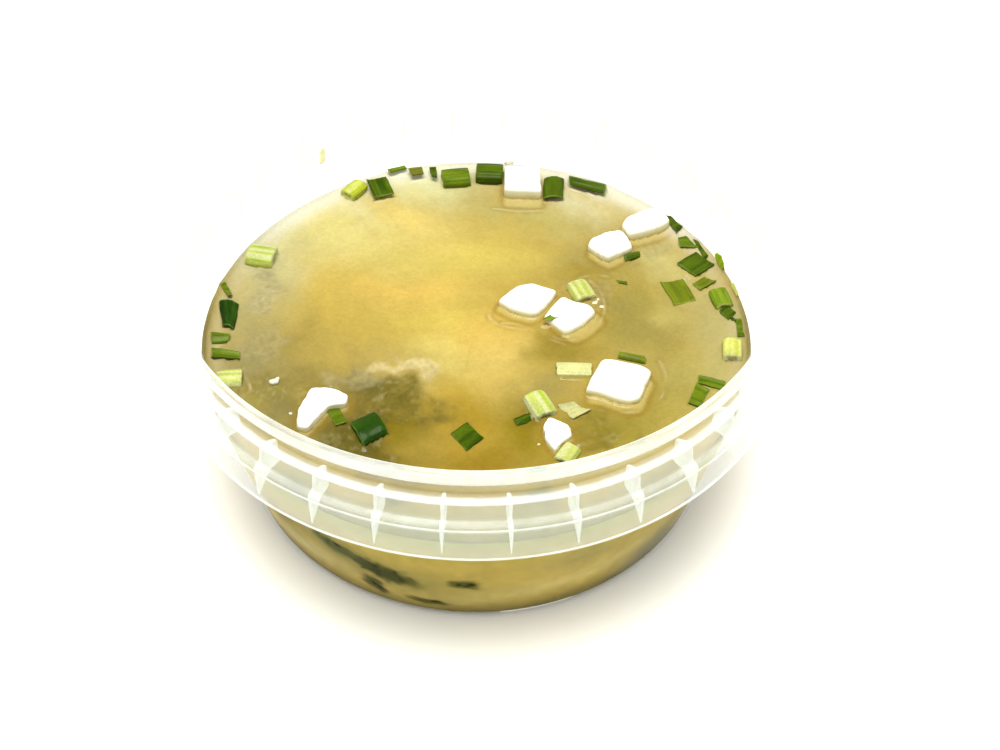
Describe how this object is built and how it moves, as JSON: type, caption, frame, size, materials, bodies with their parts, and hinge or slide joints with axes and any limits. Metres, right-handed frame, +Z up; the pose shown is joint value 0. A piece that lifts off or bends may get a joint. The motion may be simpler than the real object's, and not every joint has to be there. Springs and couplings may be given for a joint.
{
  "type": "miso soup in a take-away tub",
  "caption": "Round translucent take-away tub of cloudy golden miso soup with floating tofu cubes and chopped spring onion",
  "frame": {"origin": "middle of the tub's flat base, where it stands", "axes": "+Z up along the tub's axis, which is its shortest extent; -Y is the front, the side with the most soup in view below the guard band; +X to the right seen from the front"},
  "size_m": [0.133, 0.133, 0.0582],
  "materials": {
    "clear_plastic": "milky translucent injection moulded plastic, smooth with a soft gloss",
    "miso_broth": "cloudy golden liquid with a wet gloss",
    "tofu": "wet, soft white bean curd with a faint pore",
    "onion_leaf": "wet dark green leaf with fine fibres along it",
    "onion_stalk": "wet pale yellow-green stalk with fibres along it"
  },
  "bodies": {
    "root": {"tub": "clear_plastic", "soup": "miso_broth", "tofu_01": "tofu", "tofu_02": "tofu", "tofu_03": "tofu", "tofu_04": "tofu", "tofu_05": "tofu", "tofu_06": "tofu", "tofu_07": "tofu", "tofu_08": "tofu", "onion_01": "onion_leaf", "onion_02": "onion_stalk", "onion_03": "onion_stalk", "onion_04": "onion_stalk", "onion_05": "onion_stalk", "onion_06": "onion_leaf", "onion_07": "onion_leaf", "onion_08": "onion_stalk", "onion_09": "onion_leaf", "onion_10": "onion_stalk", "onion_11": "onion_stalk", "onion_12": "onion_stalk", "onion_13": "onion_leaf", "onion_14": "onion_stalk", "onion_15": "onion_stalk", "onion_16": "onion_leaf", "onion_17": "onion_stalk", "onion_18": "onion_leaf"}
  },
  "joints": []
}
